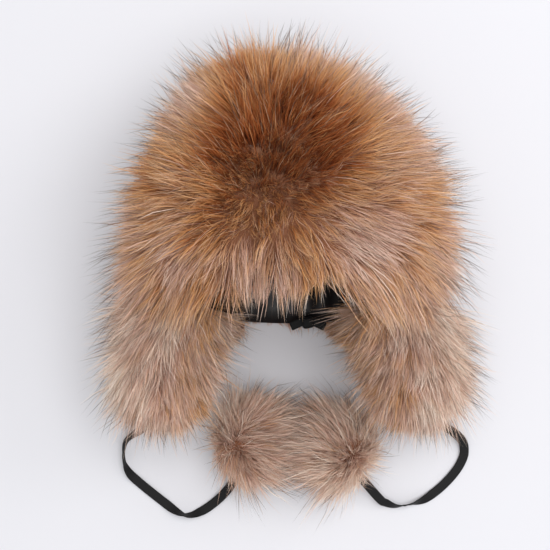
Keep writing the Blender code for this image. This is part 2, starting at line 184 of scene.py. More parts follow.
def flapNormal(side, along, down):
    step = 0.01
    across = flapPoint(side, along + step, down) - flapPoint(side, along - step, down)
    fall = flapPoint(side, along, down + step) - flapPoint(side, along, down - step)
    normal = unit(np.cross(across, fall))
    return normal * np.where(normal[..., :1] * side > 0, 1.0, -1.0)


# Camera, at the photo's angle: straight down on the hat

view = {"x": -0.0104, "y": -0.0280, "height": 1.2, "lens": 89.2}
cameraData = bpy.data.cameras.new("photoCamera")
cameraData.lens = view["lens"]
camera = bpy.data.objects.new("photoCamera", cameraData)
camera.location = (view["x"], view["y"], view["height"])
scene.collection.objects.link(camera)
scene.camera = camera

# Ribbon ties, laid on the surface

tie = {"width": 0.008, "thickness": 0.001, "startCell": 1}
pompom = {
    "radius": 0.041,
    "core": 0.024,
    "left": (-0.0310, -0.1690, 0.0330),
    "right": (0.0420, -0.1760, 0.0340),
}
routeLeft = [    # x, y, z, roll in degrees
    (-0.1000, -0.1450, 0.0420, 60.0),
    (-0.1130, -0.1540, 0.0270, 30.0),
    (-0.1275, -0.1630, 0.0150, 30.0),
    (-0.1400, -0.1725, 0.0075, 60.0),
    (-0.1430, -0.1830, 0.0058, 85.0),
    (-0.1422, -0.1930, 0.0055, 80.0),
    (-0.1380, -0.2020, 0.0040, 35.0),
    (-0.1303, -0.2098, 0.0022, 0.0),
    (-0.1194, -0.2188, 0.0022, 0.0),
    (-0.1089, -0.2270, 0.0022, 0.0),
    (-0.0985, -0.2345, 0.0036, 40.0),
    (-0.0902, -0.2382, 0.0055, 85.0),
    (-0.0823, -0.2382, 0.0045, 55.0),
    (-0.0719, -0.2338, 0.0025, 10.0),
    (-0.0624, -0.2268, 0.0030, 0.0),
    (-0.0546, -0.2190, 0.0060, 0.0),
    (-0.0480, -0.2095, 0.0120, 0.0),
]
routeRight = [    # x, y, z, roll in degrees
    (0.1120, -0.1450, 0.0420, -60.0),
    (0.1270, -0.1540, 0.0270, -30.0),
    (0.1425, -0.1630, 0.0150, -15.0),
    (0.1535, -0.1730, 0.0060, 0.0),
    (0.1558, -0.1835, 0.0030, 0.0),
    (0.1532, -0.1925, 0.0022, 0.0),
    (0.1470, -0.2021, 0.0022, 0.0),
    (0.1377, -0.2123, 0.0022, 0.0),
    (0.1285, -0.2200, 0.0022, 0.0),
    (0.1205, -0.2253, 0.0030, 25.0),
    (0.1112, -0.2283, 0.0050, 70.0),
    (0.1030, -0.2300, 0.0055, 85.0),
    (0.0950, -0.2305, 0.0060, 60.0),
    (0.0870, -0.2275, 0.0075, 25.0),
    (0.0800, -0.2225, 0.0110, 10.0),
]


def smoothRoute(rows, steps):
    points = [Vector(row[:3]) for row in rows]
    rolls = [row[3] for row in rows]
    stations = []
    for k in range(len(points) - 1):
        before, start, end = points[max(k - 1, 0)], points[k], points[k + 1]
        after = points[min(k + 2, len(points) - 1)]
        for step in range(steps):
            t = step / steps
            place = 0.5 * (2 * start + (end - before) * t
                           + (2 * before - 5 * start + 4 * end - after) * t ** 2
                           + (3 * start - before - 3 * end + after) * t ** 3)
            stations.append((place, rolls[k] + (rolls[k + 1] - rolls[k]) * t))
    stations.append((points[-1], rolls[-1]))
    return stations


def tieStations(side, route, ball, steps):
    # From just off the flap's tip to just off the pompom's core
    low = Vector(flapPoint(side, tie["startCell"] / flap["cellsRound"], 1.0))
    high = Vector(flapPoint(side, (tie["startCell"] + 1) / flap["cellsRound"], 1.0))
    square = (high - low).cross(Vector((1, 0, 0))).normalized()
    square *= math.copysign(1.0, -square.y)
    start = (low + high) / 2 + square * hat["gap"] * 2
    seam = [start + square * tie["width"] * share for share in (0.0, 0.3, 0.6)]
    ball = Vector(ball)
    end = ball + (Vector(route[-1][:3]) - ball).normalized() * (pompom["core"] + hat["gap"])
    firstRoll = math.copysign(90.0, route[0][3])
    rows = [(*point, firstRoll) for point in seam] + route + [(*end, 0.0)]
    return smoothRoute(rows, steps)


def buildMesh(name, verts, faces, material, uvs):
    # Triangles from arrays, with a UV for each vertex
    mesh = bpy.data.meshes.new(name)
    verts = np.asarray(verts, dtype=np.float32)
    faces = np.asarray(faces, dtype=np.int32)
    sides = faces.shape[1]
    mesh.vertices.add(len(verts))
    mesh.vertices.foreach_set("co", verts.ravel())
    mesh.loops.add(faces.size)
    mesh.loops.foreach_set("vertex_index", faces.ravel())
    mesh.polygons.add(len(faces))
    mesh.polygons.foreach_set("loop_start", np.arange(0, faces.size, sides, dtype=np.int32))
    mesh.polygons.foreach_set("use_smooth", np.ones(len(faces), dtype=bool))
    mesh.update(calc_edges=True)
    corners = np.asarray(uvs, dtype=np.float32)[faces.ravel()]
    for layer in ("strand", "OFBake"):
        mesh.uv_layers.new(name=layer).data.foreach_set("uv", corners.ravel())
    mesh.uv_layers["OFBake"].active_render = True
    mesh.validate()
    piece = bpy.data.objects.new(name, mesh)
    piece.data.materials.append(material)
    scene.collection.objects.link(piece)
    return piece


def mixColours(tree, factor, first, second):
    # The Mix node's colour sockets are its inputs 6 and 7 and its output 2
    return addNode(tree, "ShaderNodeMix", {0: factor, 6: first, 7: second}, data_type="RGBA").outputs[2]


# Black polyester grosgrain: cross ribs, drawn 1.2 mm apart so that they show; their crests carry a painted
# highlight, thin lighter lines of caught light

ribbonMaterial, tree, shader = newMaterial("blackGrosgrain", 0.7, sheen=0.03, specular=0.25)
strip = addNode(tree, "ShaderNodeUVMap", uv_map="ribbonMap")
along = addNode(tree, "ShaderNodeSeparateXYZ", {"Vector": strip.outputs["UV"]})
ribs = addNode(tree, "ShaderNodeMath", {0: along.outputs["Y"], 1: 2 * math.pi / 0.0012}, operation="MULTIPLY")
ribWave = addNode(tree, "ShaderNodeMath", {0: ribs.outputs[0]}, operation="SINE")
ribShare = addNode(tree, "ShaderNodeMapRange", {"Value": ribWave.outputs[0], "From Min": -1.0})
# Painted highlight: the black is lighter along each rib's crest
ribBlackAndHighlight = mixColours(tree, ribShare.outputs[0], hexColour("#0b0b0c"), hexColour("#1c1b1d"))
tree.links.new(ribBlackAndHighlight, shader.inputs["Base Color"])
ribBump = addNode(tree, "ShaderNodeBump",
                  {"Height": ribWave.outputs[0], "Strength": 0.35, "Distance": 0.0002})
tree.links.new(ribBump.outputs["Normal"], shader.inputs["Normal"])


def makeTie(name, node, side, route, ball):
    # A flat ribbon with soft edges: eight points round each station
    stations = tieStations(side, route, ball, 4)
    across = [(-1, 0), (-0.92, 1), (0, 1), (0.92, 1), (1, 0), (0.92, -1), (0, -1), (-0.92, -1)]
    verts, marks, run = [], [], 0.0
    for k, (point, roll) in enumerate(stations):
        before, after = stations[max(k - 1, 0)][0], stations[min(k + 1, len(stations) - 1)][0]
        if k:
            run += (point - before).length
        ahead = (after - before).normalized()
        flat = ahead.cross(Vector((0, 0, 1))).normalized()
        thin = flat.cross(ahead)
        turn = math.radians(roll)
        wide = (flat * math.cos(turn) + thin * math.sin(turn)) * tie["width"] / 2
        deep = (thin * math.cos(turn) - flat * math.sin(turn)) * tie["thickness"] / 2
        for a, b in across:
            verts.append(point + wide * a + deep * b)
            marks.append((a * tie["width"] / 2, run))
    count = len(across)
    faces = []
    for k in range(len(stations) - 1):
        for j in range(count):
            after = (j + 1) % count
            faces.append((k * count + j, k * count + after, (k + 1) * count + after, (k + 1) * count + j))
    last = (len(stations) - 1) * count
    for start in (0, last):    # the ends are closed by four-cornered faces
        for a, b, c, d in ((0, 1, 7, 7), (1, 2, 6, 7), (2, 3, 5, 6), (3, 4, 5, 5)):
            faces.append((start + a, start + b, start + c, start + d))
    mesh = bpy.data.meshes.new(name)
    mesh.from_pydata([tuple(v) for v in verts], [], [tuple(dict.fromkeys(face)) for face in faces])
    layer = mesh.uv_layers.new(name="ribbonMap")
    for loop in mesh.loops:
        layer.data[loop.index].uv = marks[loop.vertex_index]
    piece = bpy.data.objects.new(name, mesh)
    scene.collection.objects.link(piece)
    mesh.materials.append(ribbonMaterial)
    bpy.ops.object.select_all(action="DESELECT")
    piece.select_set(True)
    bpy.context.view_layer.objects.active = piece
    bpy.ops.object.mode_set(mode="EDIT")
    bpy.ops.mesh.select_all(action="SELECT")
    bpy.ops.mesh.normals_make_consistent(inside=False)
    bpy.ops.object.mode_set(mode="OBJECT")
    bpy.ops.object.shade_smooth_by_angle(angle=math.radians(50))
    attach(piece, "root")
    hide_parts(node)
    path = [tuple(point) for point, _ in stations]
    return piece, path, run


def strandCurve(roots, ways, bends, lengths, t):
    # Where each hair is at t of its length: it leaves along its way and turns towards its bend
    t = np.asarray(t)[None, :, None]
    lengths = lengths[:, None, None]
    turned = t * t / 2
    return roots[:, None, :] + lengths * (ways[:, None, :] * (t - turned) + bends[:, None, :] * turned)


# How a hair is drawn: its levels from root to tip, its width at some of them, and how far it waves
strandSteps = np.array([0.0, 0.34, 0.7, 1.0])
shortSteps = [0, 2, 3]    # the levels that a short hair keeps
strandTaper = [(0.0, 0.8), (0.35, 1.0), (0.75, 0.62), (1.0, 0.0)]
strandCurl = 0.0012
# The box that no hair's tip leaves
furRoom = np.array([[-0.173, -0.258, 0.0], [0.177, 0.182, 0.266]])


def keepInRoom(places):
    # Shortens the hairs that would reach out of the fur's box
    root = places[:, :1]
    run = places - root
    room = np.where(run > 0, furRoom[1] - root, furRoom[0] - root)
    share = np.where(np.abs(run) > 1e-9, room / np.where(np.abs(run) > 1e-9, run, 1.0), 1.0)
    return root + run * np.clip(share, 0.0, 1.0).min(axis=(1, 2), keepdims=True)


def nearestGuides(roots, count, rng):
    # For each hair, the guide hair nearest to it, of so many picked at random
    guides = rng.choice(len(roots), count, replace=False)
    tree = kdtree.KDTree(count)
    for k, g in enumerate(guides):
        tree.insert(roots[g], k)
    tree.balance()
    return guides[[tree.find(root)[1] for root in roots]]


def drawTogether(places, lengths, owner, pull, steps):
    # Bends each hair towards its guide, most at the tip
    start = places[owner, :1]
    led = start + (places[owner] - start) * (lengths / lengths[owner])[:, None, None]
    return mix(places, led, pull[:, None, None] * steps[None, :, None] ** 1.3)


def ribbonStrands(places, ways, width, tones, steps, rng):
    # Narrow ribbons that taper to a point. A hair's UV holds its tone across and its length up.
    count, levels = places.shape[:2]
    ahead = unit(np.diff(places, axis=1, append=2 * places[:, -1:] - places[:, -2:-1]))
    out = unit(ways[:, None, :] + 0.35 * rng.normal(size=(count, 1, 3)))
    flat = unit(np.cross(ahead, np.cross(out, np.array([0.13, 0.41, 0.9])) + 0.001))
    sideways = unit(np.cross(ahead, flat))
    roll = rng.normal(scale=0.9, size=(count, 1, 1))
    wide = flat * np.cos(roll) + sideways * np.sin(roll)
    taper = np.interp(steps, [row[0] for row in strandTaper], [row[1] for row in strandTaper])
    half = (width / 2 * rng.uniform(0.65, 1.25, count))[:, None] * taper[None, :]
    left = places - wide * half[..., None]
    right = places + wide * half[..., None]
    low = levels - 1    # levels under the tip, each with a left and a right point
    verts = np.concatenate([left[:, :low], right[:, :low], places[:, low:]], axis=1)
    tone = np.clip(tones, 0.006, 0.994)[:, None]
    us = np.concatenate([np.repeat(tone - 0.004, low, 1), np.repeat(tone + 0.004, low, 1), tone], axis=1)
    heights = np.clip(steps, 0.02, 0.985)
    vs = np.tile(np.concatenate([heights[:low], heights[:low], heights[low:]]), (count, 1))
    one = []
    for k in range(low - 1):
        one += [(k, low + k, low + k + 1), (k, low + k + 1, k + 1)]
    one.append((low - 1, 2 * low - 1, 2 * low))
    faces = np.array(one)[None] + (np.arange(count) * (2 * low + 1))[:, None, None]
    return verts.reshape(-1, 3), faces.reshape(-1, 3), np.stack([us, vs], axis=-1).reshape(-1, 2)


def growFur(name, hairs, look, rng):
    # Hairs drawn together in locks and finer tufts, joined in one mesh: the shorter half has fewer faces
    roots, ways, lengths = hairs["roots"], hairs["ways"], hairs["lengths"]
    count = len(roots)
    steps = strandSteps
    places = strandCurve(roots, ways, hairs["bends"], lengths, steps)
    lock = nearestGuides(roots, count // look["hairsInLock"], rng)
    tuft = nearestGuides(roots, count // look["hairsInTuft"], rng)
    places = drawTogether(places, lengths, lock, look["lockPull"] * rng.uniform(0.4, 1.2, count), steps)
    pull = np.clip(hairs["clumping"] * rng.uniform(0.5, 1.25, count), 0, 0.95)
    places = drawTogether(places, lengths, tuft, pull, steps)
    curl = rng.normal(size=(count, 1, 3)) * strandCurl
    turns = rng.uniform(2.5, 6.0, count)[:, None]
    swing = np.sin(steps[None, :] * turns + rng.uniform(0, 6.28, count)[:, None])
    places = keepInRoom(press(places + curl * (swing * steps)[..., None]))
    shade = rng.normal(scale=look["tuftTone"], size=count)[tuft]
    shade = shade + rng.normal(scale=look["hairTone"], size=count)
    tones = np.where(hairs["guard"], hairs["tones"], np.clip(hairs["tones"] + shade, 0.0, cream))
    short = hairs["short"]
    fine = ribbonStrands(places[~short], ways[~short], look["width"], tones[~short], steps, rng)
    rest = ribbonStrands(places[short][:, shortSteps], ways[short], look["width"], tones[short],
                         steps[shortSteps], rng)
    verts = np.concatenate([fine[0], rest[0]])
    faces = np.concatenate([fine[1], rest[1] + len(fine[0])])
    piece = buildMesh(name, verts, faces, fur, np.concatenate([fine[2], rest[2]]))
    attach(piece, "root")
    return piece


def gridNormals(grid, outward):
    # Normals of a grid whose last column repeats its first, turned the way that outward gives
    across = np.empty_like(grid)
    across[:, 1:-1] = grid[:, 2:] - grid[:, :-2]
    across[:, 0] = across[:, -1] = grid[:, 1] - grid[:, -2]
    up = np.gradient(grid, axis=0)
    normals = unit(np.cross(across, up))
    return normals * np.where((normals * outward).sum() < 0, -1.0, 1.0)


def scatterRoots(grid, fields, count, rng, weight=1.0):
    # Roots spread evenly over a grid's cells, and what the fields hold there
    a, b, c, d = grid[:-1, :-1], grid[1:, :-1], grid[1:, 1:], grid[:-1, 1:]
    area = np.linalg.norm(np.cross(c - a, d - b), axis=-1) * weight
    cell = rng.choice(area.size, count, p=(area / area.sum()).ravel())
    i, j = np.unravel_index(cell, area.shape)
    s, t = rng.random((2, count, 1))

    def read(values):
        return mix(mix(values[i, j], values[i + 1, j], s), mix(values[i, j + 1], values[i + 1, j + 1], s), t)

    return [read(grid)] + [read(field) for field in fields]


def closedShell(name, outer, inner, material, node):
    # A wall between two round grids: joined at their first rows, and closed by a point past each last row
    rows, columns = outer.shape[0] - 1, outer.shape[1] - 1
    verts = np.concatenate([outer[:-1, :-1].reshape(-1, 3), inner[:-1, :-1].reshape(-1, 3),
                            outer[-1:, 0], inner[-1:, 0]])
    half = rows * columns
    last = half - columns
    faces = []
    for j in range(columns):
        after = (j + 1) % columns
        for k in range(0, last, columns):
            a, b, c, d = k + j, k + after, k + columns + after, k + columns + j
            faces += [(a, b, c, d), (half + d, half + c, half + b, half + a)]
        faces += [(half + j, half + after, after, j), (last + j, last + after, 2 * half),
                  (half + last + after, half + last + j, 2 * half + 1)]
    finishShell(name, verts, faces, material, node)


def finishShell(name, verts, faces, material, node):
    # Turns the faces outwards, shades them smooth and puts the piece in its node's place
    mesh = bpy.data.meshes.new(name)
    mesh.from_pydata([tuple(v) for v in verts], [], faces)
    mesh.materials.append(material)
    piece = bpy.data.objects.new(name, mesh)
    scene.collection.objects.link(piece)
    bpy.ops.object.select_all(action="DESELECT")
    piece.select_set(True)
    bpy.context.view_layer.objects.active = piece
    bpy.ops.object.mode_set(mode="EDIT")
    bpy.ops.mesh.select_all(action="SELECT")
    bpy.ops.mesh.normals_make_consistent(inside=False)
    bpy.ops.object.mode_set(mode="OBJECT")
    bpy.ops.object.shade_smooth()
    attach(piece, "root")
    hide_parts(node)


def furMaterial(name, palette, roughness, sheen):
    # Hair colour from root to tip, for a row of tones from one side of the UV map to the other
    material, tree, shader = newMaterial(name, roughness, sheen=sheen, specular=0.3)
    place = addNode(tree, "ShaderNodeUVMap", uv_map="strand")
    parts = addNode(tree, "ShaderNodeSeparateXYZ", {"Vector": place.outputs["UV"]})
    colour = None
    for k, stops in enumerate(palette):
        ramp = addNode(tree, "ShaderNodeValToRGB", {"Fac": parts.outputs["Y"]})
        marks = ramp.color_ramp.elements
        while len(marks) < len(stops):
            marks.new(0.5)
        for mark, (at, code) in zip(marks, stops):
            mark.position = at
            mark.color = hexColour(code)
        if colour is None:
            colour = ramp.outputs["Color"]
        else:
            share = addNode(tree, "ShaderNodeMapRange",
                            {"Value": parts.outputs["X"], "From Min": (k - 1) / (len(palette) - 1),
                             "From Max": k / (len(palette) - 1)})
            colour = mixColours(tree, share.outputs[0], colour, ramp.outputs["Color"])
    tree.links.new(colour, shader.inputs["Base Color"])
    return material


# Fox-type fur: each hair goes from a darker root by a russet or tan band to a pale end,
# and a guard hair to a black one; the darker roots are painted shade deep in the fur, the bands and ends the
# hair's own colour

furTones = [
    [(0.0, "#47210f"), (0.45, "#7c3a1a"), (0.8, "#a2592c"), (1.0, "#c0875a")],    # deep brown
    [(0.0, "#5c2f1a"), (0.4, "#9c5026"), (0.75, "#bd7440"), (1.0, "#d8a070")],    # russet
    [(0.0, "#8c5a38"), (0.4, "#c4854f"), (0.75, "#dba56c"), (1.0, "#ecc799")],    # orange tan
    [(0.0, "#a07257"), (0.4, "#c89670"), (0.75, "#dab08c"), (1.0, "#eacdb2")],    # brown tan
    [(0.0, "#a17a6a"), (0.4, "#c4998a"), (0.75, "#d6b0a0"), (1.0, "#ead0c4")],    # mauve brown
    [(0.0, "#b8937f"), (0.4, "#dab8a2"), (0.75, "#e8cdb9"), (1.0, "#f5e3d5")],    # beige
    [(0.0, "#bd9b85"), (0.4, "#e6cfbb"), (0.75, "#f3e4d6"), (1.0, "#fbf4ec")],    # cream
    [(0.0, "#8a6248"), (0.45, "#c9a283"), (0.7, "#5d4438"), (1.0, "#15110f")],    # black-tipped guard hair
]
beige, cream, guardHair = [k / (len(furTones) - 1) for k in (5, 6, 7)]    # where these rows lie in the map
fur = furMaterial("foxFurWithRootShade", furTones, 0.55, 0.0)

# Dense woolly underfur: dull, in lumps of 20 mm with 2.4 mm flecks, and darker than the hair over it: painted
# shade under the hair

woolMaterial, tree, shader = newMaterial("underfurWool", 0.95, sheen=0.3, specular=0.1)
spot = addNode(tree, "ShaderNodeTexCoord")
broad = addNode(tree, "ShaderNodeTexNoise", {"Vector": spot.outputs["Object"], "Scale": 50.0, "Detail": 3.0})
fine = addNode(tree, "ShaderNodeTexNoise", {"Vector": spot.outputs["Object"], "Scale": 420.0, "Detail": 4.0})
# Its dark browns are painted shade under the hair; the lumps and flecks vary its own tone
woolToneAndShade = mixColours(tree, broad.outputs["Fac"], hexColour("#6b4431"), hexColour("#a67557"))
woolToneAndShade = mixColours(tree, fine.outputs["Fac"], woolToneAndShade, hexColour("#85583f"))
tree.links.new(woolToneAndShade, shader.inputs["Base Color"])
woolBump = addNode(tree, "ShaderNodeBump",
                   {"Height": fine.outputs["Fac"], "Strength": 0.8, "Distance": 0.002})
tree.links.new(woolBump.outputs["Normal"], shader.inputs["Normal"])

# Crown: its hair spreads from a point on the front, hangs over the brow and lies down towards the nape

crown = {
    "swirl": (-0.020, 0.058, 0.205),
    "middleY": 0.032,
    "frontHairs": 50000,
    "backHairs": 30000,
    "woolShare": 0.42,       # the underfur's height as a share of the hair's length
    "rootDepth": 0.005,      # how deep in the underfur the hairs start
    "guardShare": 0.09,
    "lean": 0.55,            # how far the hairs lean along their flow at the root
    "droop": 1.25,           # and how far at the tip
    "scatter": 0.15,
    # How far the sides' hair is paled towards beige: painted light shining through the hair at the outline
    "outlineLightPaleness": 0.35,
    "pale": {"share": 0.08, "more": (0.10, 0.30)},    # hairs lighter than those round them
    "blackShare": (0.35, 0.5),    # guard hairs with black tips: on the front, and how many more at the sides
    "wisps": {"share": 0.035, "longer": 0.013},    # pale hairs that hang past the fringe
    "fringeUnevenness": 0.0035,
    "look": {"width": 0.00052, "hairsInLock": 260, "hairsInTuft": 20, "lockPull": 0.34,
             "tuftTone": 0.035, "hairTone": 0.045},
}
# Reach of the hair seen from the front: bearing in degrees, share of the hair's length
reachByBearing = [(-180, 1.02), (-155, 1.22), (-130, 1.22), (-90, 1.0), (-50, 1.22), (-22, 1.20), (0, 1.08),
                  (28, 1.05), (45, 0.76), (62, 0.82), (78, 0.98), (118, 1.06), (150, 1.02), (180, 1.02)]
# Where the brow's fringe ends over the opening: x, y
fringeEnds = [(-0.060, -0.075), (-0.042, -0.056), (-0.028, -0.047), (0.000, -0.047), (0.018, -0.045),
              (0.034, -0.036), (0.046, -0.034), (0.062, -0.075)]
# Thin locks that hang past the fringe: x, width, how much longer
fringeLocks = [(-0.0074, 0.0026, 0.016), (0.0059, 0.0036, 0.013)]
# Patches of the natural colour on the front: x, y, size, tone
crownPatches = [
    (-0.020, 0.062, 0.030, 0.00),
    (0.026, 0.052, 0.026, 0.05),
    (-0.056, 0.084, 0.014, 0.05),
    (-0.012, 0.118, 0.018, 0.10),
    (0.046, 0.084, 0.018, 0.14),
    (0.038, 0.100, 0.018, 0.20),
    (-0.064, 0.026, 0.030, 0.26),
    (-0.068, 0.100, 0.022, 0.66),
    (0.050, 0.118, 0.020, 0.82),
    (0.038, -0.004, 0.022, 0.60),
    (-0.030, -0.020, 0.040, 0.52),
]


def crownReach(points, normals):
    bearing = np.degrees(np.arctan2(points[..., 1] - crown["middleY"], points[..., 0]))
    share = np.interp(bearing, [row[0] for row in reachByBearing], [row[1] for row in reachByBearing])
    return hat["furLength"] * (1 + (share - 1) * (1 - np.abs(normals[..., 2])))


def crownFlow(points, normals):
    # The way the hair lies along the pelt, and how strongly
    away = points - np.array(crown["swirl"])
    far = np.linalg.norm(away, axis=-1, keepdims=True)
    toRim = np.array([0.0, -1.0, 0.0])
    under = smoothStep((-normals[..., 2:] - 0.1) / 0.6)
    top = smoothStep((points[..., 1:2] - 0.05) / 0.06)
    below = smoothStep((0.030 - points[..., 1:2]) / 0.06) * 0.65
    flow = mix(unit(away), toRim, below) * (1 - under) + toRim * under * (1 - top)
    flow = flow - normals * (flow * normals).sum(-1, keepdims=True)
    brow = smoothStep((normals[..., 2:] - 0.2) / 0.5) * smoothStep((0.045 - points[..., 1:2]) / 0.05)
    strength = 0.12 + 0.55 * smoothStep(far / 0.085) + 0.5 * brow
    return unit(flow) * strength


def crownTones(points):
    # Dark and russet round the swirl, tan at the sides, mauve brown low on the brow
    far = np.linalg.norm((points - np.array(crown["swirl"])) * [1, 1, 0.6], axis=-1)
    patch = waves(points, 0.035, 5)
    tone = np.interp(far + 0.012 * patch, [0.0, 0.035, 0.056, 0.080, 0.11, 0.2],
                     [0.02, 0.08, 0.16, 0.33, 0.47, 0.52])
    front = smoothStep((points[..., 2] - middleZ) / 0.06)
    for x, y, size, other in crownPatches:
        near = ((points[..., 0] - x) ** 2 + (points[..., 1] - y) ** 2) / size ** 2
        tone = mix(tone, other, 0.85 * np.exp(-near) * front)
    return tone + 0.07 * patch + 0.06 * waves(points, 0.013, 9)


# Lengths of the three kinds of hair as shares of the fur's length, and how far each joins its tuft
hairKinds = {
    "underShare": 0.55,
    "guard": {"longer": (1.20, 1.85), "clumping": 0.25},
    "top": {"longer": (0.78, 0.95, 1.32), "clumping": 0.60},
    "under": {"longer": (0.50, 0.95), "clumping": 0.78},
}


def mixedHair(count, rng, guardShare):
    # Guard hairs, long top hairs, and the shorter hairs under them
    kind = rng.random(count)
    guard = kind > 1 - guardShare
    top = (kind > hairKinds["underShare"]) & ~guard
    guardLonger = rng.uniform(*hairKinds["guard"]["longer"], count)
    topLonger = rng.triangular(*hairKinds["top"]["longer"], count)
    underLonger = rng.uniform(*hairKinds["under"]["longer"], count)
    longer = np.where(guard, guardLonger, np.where(top, topLonger, underLonger))
    clumping = np.where(guard, hairKinds["guard"]["clumping"],
                        np.where(top, hairKinds["top"]["clumping"], hairKinds["under"]["clumping"]))
    return {"guard": guard, "short": ~top & ~guard, "longer": longer, "clumping": clumping}


crownRows, crownColumns = 64, 161
riseGrid, angleGrid = np.meshgrid(np.linspace(0, math.pi / 2, crownRows),
                                  np.linspace(0, 2 * math.pi, crownColumns), indexing="ij")


def crownSkins():
    # The pelt's outer face with its normals, and the underfur's face over it
    skin = domePoint(angleGrid, riseGrid, peltOutside)
    skin[:, -1], skin[-1] = skin[:, 0], skin[-1, 0]
    normals = gridNormals(skin, skin - np.array([0, 0, middleZ]))
    normals[-1] = [0.0, 1.0, 0.0]
    lumps = woolLumps(skin, 60, 61)
    height = crownReach(skin, normals) * crown["woolShare"] * lumps * smoothStep(riseGrid / 0.12)
    flow = crownFlow(skin, normals)
    grown = press(skin + unit(normals + 0.5 * flow) * height[..., None])
    grown[:, -1], grown[-1] = grown[:, 0], grown[-1, 0]
    return skin, normals, grown


def growCrown(name, count, front, seed, skin, normals, grown):
    rng = np.random.default_rng(seed)
    facing = normals[:-1, :-1, 2]
    weight = smoothStep((facing + 0.35) / 0.2) if front else smoothStep((-0.15 - facing) / 0.2)
    fromSwirl = ((skin[:-1, :-1] - crown["swirl"]) ** 2).sum(-1)
    weight = (weight + 1e-6) * (1 + 0.9 * np.exp(-fromSwirl / 0.045 ** 2))    # denser round the swirl
    woolNormals = gridNormals(grown, grown - skin)
    woolNormals[-1] = [0.0, 1.0, 0.0]
    soft = unit(woolNormals + normals * 1.2)
    reach = (crownReach(skin, normals) - np.linalg.norm(grown - skin, axis=-1))[..., None]
    roots, normal, pelt, reach = scatterRoots(grown, [soft, skin, reach], count, rng, weight)
    normal = unit(normal)
    kinds = mixedHair(count, rng, crown["guardShare"])
    roots = roots - normal * crown["rootDepth"]
    pressed = smoothStep((-normal[:, 2] - 0.45) / 0.4)
    lengths = (reach[:, 0] * kinds["longer"] + crown["rootDepth"]) * (1 - 0.3 * pressed)
    atNape = smoothStep((-normal[:, 2] - 0.2) / 0.4) * smoothStep((-0.035 - pelt[:, 1]) / 0.02)
    lengths = lengths * (1 - 0.55 * atNape * smoothStep((0.075 - np.abs(pelt[:, 0])) / 0.02))
    ragged = waveVectors(pelt, 0.030, 40) * 0.16 + waveVectors(pelt, 0.011, 47) * 0.14
    flow = crownFlow(pelt, normal) + ragged
    scatter = rng.normal(size=(count, 3)) * crown["scatter"]
    ways = unit(normal + crown["lean"] * flow + scatter)
    bends = unit(normal * 0.8 + flow * crown["droop"] + scatter * 1.5)
    tips = roots + (ways + bends) / 2 * lengths[:, None]
    ends = np.interp(tips[:, 0], [row[0] for row in fringeEnds], [row[1] for row in fringeEnds])
    for place, width, more in fringeLocks:
        ends = ends - more * np.exp(-((tips[:, 0] - place) / width) ** 2) * (rng.random(count) < 0.5)
    wisp = rng.random(count) < crown["wisps"]["share"]
    ends = ends + rng.normal(scale=crown["fringeUnevenness"], size=count) - crown["wisps"]["longer"] * wisp
    over = (tips[:, 1] < ends) & (normal[:, 2] > 0.0) & (roots[:, 1] > ends + 0.004)
    whole = np.maximum(roots[:, 1] - tips[:, 1], 1e-6)
    lengths = np.where(over, lengths * (roots[:, 1] - ends) / whole, lengths)
    tones = np.where(wisp & over, cream, crownTones(mix(pelt, tips, 0.5)))
    chance = rng.random(count)
    edge = smoothStep((0.55 - np.abs(normal[:, 2])) / 0.5)
    # Hair at the outline, facing sideways, is paled: painted light shining through it
    tones = mix(tones, beige, crown["outlineLightPaleness"] * edge)
    paler = chance > 1 - crown["pale"]["share"]
    tones = np.where(paler, tones + rng.uniform(*crown["pale"]["more"], count), tones)
    guard = kinds["guard"] & (chance < crown["blackShare"][0] + crown["blackShare"][1] * edge)
    tones = np.where(guard, guardHair, tones)
    hairs = {**kinds, "roots": roots, "ways": ways, "bends": bends, "lengths": lengths, "tones": tones,
             "guard": guard}
    growFur(name, hairs, crown["look"], rng)


def makeCrown():
    skin, normals, grown = crownSkins()
    inner = domePoint(angleGrid, riseGrid, peltInside + 0.0002)
    closedShell("crownWool", grown, inner, woolMaterial, "crown_fur")
    growCrown("crownFurFront", crown["frontHairs"], True, 3, skin, normals, grown)
    growCrown("crownFurBack", crown["backHairs"], False, 4, skin, normals, grown)


makeCrown()
print("crown done")

# Ear flaps: two pelts back to back, hair on both sides, pale towards the outer edges

flapFur = {
    "hairs": 43000,
    "outer": 0.060,
    "inner": 0.047,
    "front": 0.043,
    "nape": 0.016,
    "tip": 0.036,
    "woolShare": 0.42,
    "rootDepth": 0.005,
    "least": 0.006,
    "guardShare": 0.06,
    "blackShare": 0.35,      # of the guard hairs, those with black tips
    "tipStart": 0.72,        # where the fur begins to close round the tip
    "scatter": 0.15,
    "pale": {"share": 0.12, "more": (0.08, 0.24)},
    "dark": {"share": 0.10, "less": (0.08, 0.20)},
    "evenness": 0.5,         # how far the hair points straight to the side, off the panel's own slope
    "look": {"width": 0.00052, "hairsInLock": 320, "hairsInTuft": 22, "lockPull": 0.42,
             "tuftTone": 0.035, "hairTone": 0.045},
}
# Reach of the inner fur by its place along the rim, short where it lies under the opening
innerReach = [(0.0, 0.12), (0.35, 0.65), (0.6, 1.0), (1.0, 1.0)]


